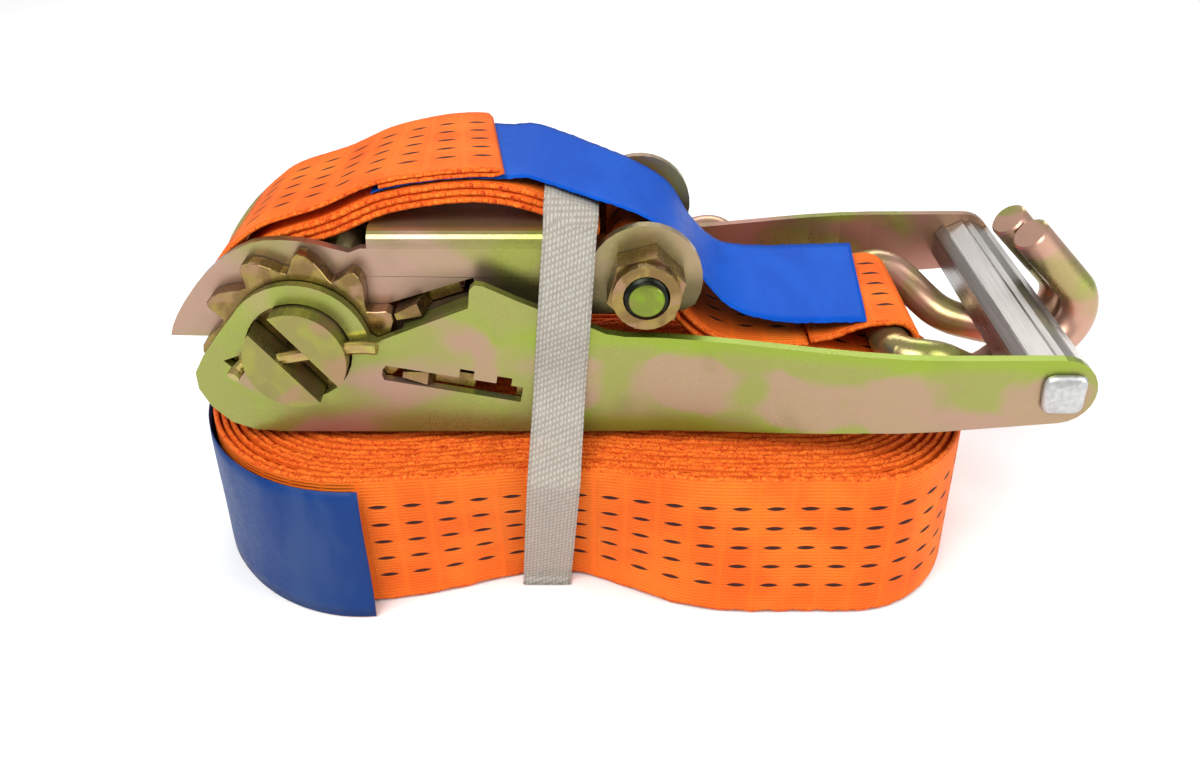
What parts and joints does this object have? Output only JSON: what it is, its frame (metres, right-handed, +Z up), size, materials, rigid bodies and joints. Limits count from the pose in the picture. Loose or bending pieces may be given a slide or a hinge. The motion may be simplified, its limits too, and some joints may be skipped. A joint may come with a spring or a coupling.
{
  "type": "ratchet strap",
  "caption": "Webbing ratchet tie-down with slotted drum, toothed wheels, spring pawls, flared lever handle, claw hooks and a folded, tied hank of strap.",
  "frame": {"origin": "centre of the bounding box's base, on the surface the hank stands on", "axes": "+X from the ratchet's drum towards its grip bar, +Y from the front handle plate to the rear one, along the drum axis, +Z up"},
  "size_m": [0.2732, 0.1736, 0.1253],
  "materials": {
    "frame_steel": "yellow zinc plate",
    "bolt_steel": "yellow zinc plate",
    "nut_steel": "yellow zinc plate",
    "handle_steel": "yellow zinc plate",
    "grip_aluminium": "brushed",
    "pawl_steel": "yellow zinc plate",
    "spring_steel": "bright",
    "drum_steel": "yellow zinc plate",
    "wheel_steel": "yellow zinc plate",
    "cotter_steel": "yellow zinc plate",
    "hook_steel": "yellow zinc plate",
    "webbing": "woven polyester",
    "blue_label": "coated cloth",
    "woven_tie": "open weave"
  },
  "bodies": {
    "hank": {"hank_outer_turns": "webbing", "hank_inner_turns": "webbing", "hank_label": "blue_label", "tie_band": "woven_tie", "long_hook_loop": "webbing"},
    "handle": {"handle_plate_front": "handle_steel", "handle_plate_rear": "handle_steel", "grip_bar": "grip_aluminium", "drive_spring_seat": "pawl_steel", "drive_spring": "spring_steel", "short_hook_loop": "webbing", "short_strap_run": "webbing"},
    "frame": {"ratchet_frame": "frame_steel", "frame_bolt": "bolt_steel", "frame_locknut": "nut_steel", "lock_spring_seat": "pawl_steel", "lock_spring": "spring_steel", "folded_tail_under": "webbing", "folded_tail_top": "webbing", "tail_label": "blue_label", "sleeve_loop": "webbing"},
    "drum": {"drum_half_upper": "drum_steel", "drum_half_lower": "drum_steel", "ratchet_wheel_front": "wheel_steel", "ratchet_wheel_rear": "wheel_steel", "cotter_pin_front": "cotter_steel", "cotter_pin_rear": "cotter_steel"},
    "sleeve": {"bolt_sleeve": "nut_steel"},
    "lock_pawl_body": {"lock_pawl": "pawl_steel"},
    "drive_pawl_body": {"drive_pawl": "pawl_steel"},
    "short_hook": {"claw_hook_short": "hook_steel"},
    "long_hook": {"claw_hook_long": "hook_steel"}
  },
  "joints": [
    {"name": "ratchet_lift", "type": "slide", "parent": "hank", "child": "handle", "axis": [0, 0, 1], "range_m": [0, 0.0271], "deforming": ["tie_band"]},
    {"name": "frame_swing", "type": "hinge", "parent": "handle", "child": "frame", "pos_m": [-0.09818, -0.02566, 0.078], "axis": [0, -1, 0], "range_deg": [0, 155], "deforming": ["tie_band", "short_strap_run"]},
    {"name": "drum_spin", "type": "hinge", "parent": "frame", "child": "drum", "pos_m": [-0.09818, -0.02566, 0.078], "axis": [0, 1, 0], "continuous": true},
    {"name": "sleeve_spin", "type": "hinge", "parent": "frame", "child": "sleeve", "pos_m": [-0.00348, -0.02566, 0.0956], "axis": [0, 1, 0], "continuous": true},
    {"name": "lock_pawl_slide", "type": "slide", "parent": "frame", "child": "lock_pawl_body", "axis": [0.9511, 0, 0.309], "range_m": [0, 0.0045], "stiffness_N_per_m": 900, "springref_m": -0.004, "deforming": ["lock_spring"]},
    {"name": "drive_pawl_slide", "type": "slide", "parent": "handle", "child": "drive_pawl_body", "axis": [0.9833, 0, -0.1822], "range_m": [0, 0.0045], "stiffness_N_per_m": 900, "springref_m": -0.004, "deforming": ["drive_spring"]},
    {"name": "short_hook_swing", "type": "hinge", "parent": "handle", "child": "short_hook", "pos_m": [0.06782, -0.02566, 0.072], "axis": [0, 1, 0], "range_deg": [-1.5, 1.5]},
    {"name": "long_hook_swing", "type": "hinge", "parent": "hank", "child": "long_hook", "pos_m": [0.02982, 0.04434, 0.0371], "axis": [0, 0, 1], "range_deg": [-60, 1.7]}
  ],
  "couplings": [
    {"joint": "ratchet_lift", "follows": "frame_swing", "m_per_rad": 0.01}
  ]
}
